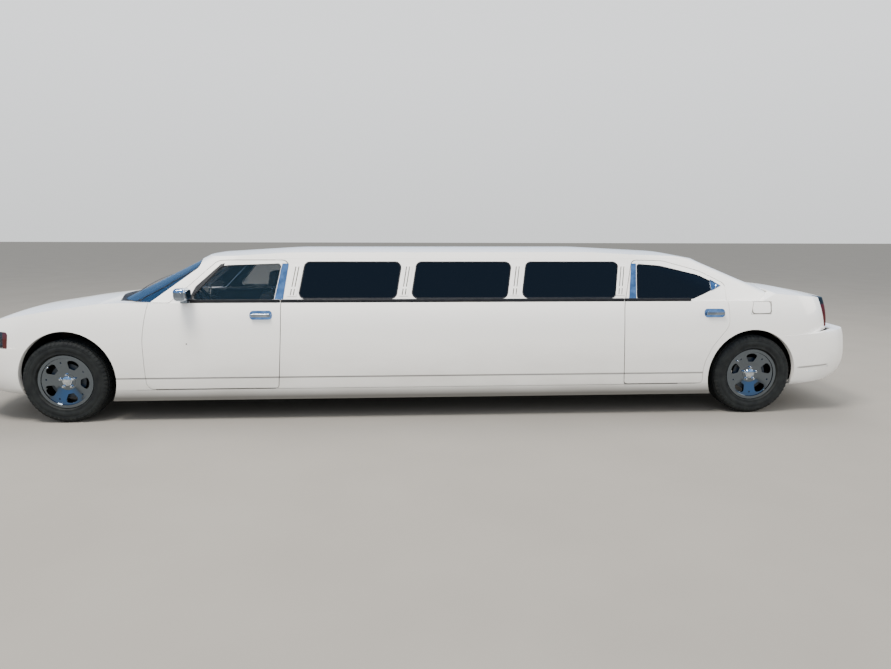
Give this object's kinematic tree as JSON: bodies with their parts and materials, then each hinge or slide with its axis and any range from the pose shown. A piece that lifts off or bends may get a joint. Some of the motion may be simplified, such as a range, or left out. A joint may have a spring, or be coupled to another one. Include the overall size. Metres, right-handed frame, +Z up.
{
  "type": "stretch limousine",
  "caption": "Stretch limousine on a full-size sedan body, with opening doors, hood and trunk, steered front wheels and a long windowed middle.",
  "frame": {"origin": "on the ground under the middle of the overall length, on the car's centre plane", "axes": "+X forward, +Y to the car's left, +Z up"},
  "size_m": [8.1342, 2.135, 1.5058],
  "materials": {
    "paint": "gloss white paint",
    "paint_bumper": "gloss white painted plastic",
    "underbody": "satin black",
    "liner": "matt black",
    "chassis": "dark cast metal",
    "cast": "raw casting",
    "exhaust_steel": "dull steel",
    "dark_glass": "dark tinted glass",
    "clear_glass": "light tinted glass",
    "bright_trim": "bright chrome",
    "lamp_clear": "clear lens",
    "lamp_red": "dark red lens",
    "cabin_plastic": "soft grained plastic",
    "upholstery": "grey leather",
    "tyre": "black rubber",
    "wheel_chrome": "chrome cladding"
  },
  "bodies": {
    "body": {"fenders": "paint", "stretch_panels": "paint", "quarter_panels": "paint", "roof_panel": "paint", "bumper_front": "paint_bumper", "bumper_rear": "paint_bumper", "sills": "paint", "cowl": "underbody", "floor_pan": "underbody", "wheel_housings": "liner", "front_frame": "chassis", "rear_axle": "chassis", "engine": "cast", "exhaust": "exhaust_steel", "fixed_glass": "dark_glass", "pillar_louvres": "bright_trim", "grille": "bright_trim", "headlamps": "lamp_clear", "tail_lamps": "lamp_red", "dashboard": "cabin_plastic", "seats": "upholstery"},
    "door_front_left": {"door_front_left": "paint", "glass_front_left": "clear_glass", "fittings_front_left": "bright_trim"},
    "door_front_right": {"door_front_right": "paint", "glass_front_right": "clear_glass", "fittings_front_right": "bright_trim"},
    "door_rear_left": {"door_rear_left": "paint", "glass_rear_left": "dark_glass", "fittings_rear_left": "bright_trim"},
    "door_rear_right": {"door_rear_right": "paint", "glass_rear_right": "dark_glass", "fittings_rear_right": "bright_trim"},
    "hood": {"hood": "paint"},
    "trunk_lid": {"trunk_lid": "paint"},
    "steering_wheel": {"steering_wheel": "cabin_plastic"},
    "knuckle_left": {"knuckle_left": "chassis"},
    "knuckle_right": {"knuckle_right": "chassis"},
    "wheel_front_left": {"tyre_front_left": "tyre", "wheel_front_left": "wheel_chrome"},
    "wheel_front_right": {"tyre_front_right": "tyre", "wheel_front_right": "wheel_chrome"},
    "wheel_rear_left": {"tyre_rear_left": "tyre", "wheel_rear_left": "wheel_chrome"},
    "wheel_rear_right": {"tyre_rear_right": "tyre", "wheel_rear_right": "wheel_chrome"}
  },
  "joints": [
    {"name": "door_front_left_hinge", "type": "hinge", "parent": "body", "child": "door_front_left", "pos_m": [2.397, 0.9455, 0.6], "axis": [0, 0, -1], "range_deg": [0, 65]},
    {"name": "door_rear_left_hinge", "type": "hinge", "parent": "body", "child": "door_rear_left", "pos_m": [-1.795, 0.9455, 0.6], "axis": [0, 0, -1], "range_deg": [0, 65]},
    {"name": "steer_left", "type": "hinge", "parent": "body", "child": "knuckle_left", "pos_m": [3.09, 0.79, 0.362], "axis": [0, 0, 1], "range_deg": [-34, 34]},
    {"name": "door_front_right_hinge", "type": "hinge", "parent": "body", "child": "door_front_right", "pos_m": [2.397, -0.9455, 0.6], "axis": [0, 0, 1], "range_deg": [0, 65]},
    {"name": "door_rear_right_hinge", "type": "hinge", "parent": "body", "child": "door_rear_right", "pos_m": [-1.795, -0.9455, 0.6], "axis": [0, 0, 1], "range_deg": [0, 65]},
    {"name": "steer_right", "type": "hinge", "parent": "body", "child": "knuckle_right", "pos_m": [3.09, -0.79, 0.362], "axis": [0, 0, 1], "range_deg": [-34, 34]},
    {"name": "hood_hinge", "type": "hinge", "parent": "body", "child": "hood", "pos_m": [2.65, 0, 1.035], "axis": [0, -1, 0], "range_deg": [0, 50]},
    {"name": "trunk_hinge", "type": "hinge", "parent": "body", "child": "trunk_lid", "pos_m": [-3.406, 0, 1.135], "axis": [0, 1, 0], "range_deg": [0, 70]},
    {"name": "wheel_front_left_spin", "type": "hinge", "parent": "knuckle_left", "child": "wheel_front_left", "pos_m": [3.09, 0.8, 0.362], "axis": [0, 1, 0], "continuous": true},
    {"name": "wheel_front_right_spin", "type": "hinge", "parent": "knuckle_right", "child": "wheel_front_right", "pos_m": [3.09, -0.8, 0.362], "axis": [0, 1, 0], "continuous": true},
    {"name": "wheel_rear_left_spin", "type": "hinge", "parent": "body", "child": "wheel_rear_left", "pos_m": [-3.006, 0.8, 0.362], "axis": [0, 1, 0], "continuous": true},
    {"name": "wheel_rear_right_spin", "type": "hinge", "parent": "body", "child": "wheel_rear_right", "pos_m": [-3.006, -0.8, 0.362], "axis": [0, 1, 0], "continuous": true},
    {"name": "steering_wheel_turn", "type": "hinge", "parent": "body", "child": "steering_wheel", "pos_m": [2.03, 0.38, 0.96], "axis": [0.9135, 0, -0.4067], "range_deg": [-520, 520]}
  ],
  "couplings": [
    {"joint": "steer_right", "follows": "steer_left", "ratio": 1},
    {"joint": "steering_wheel_turn", "follows": "steer_left", "ratio": -15}
  ]
}
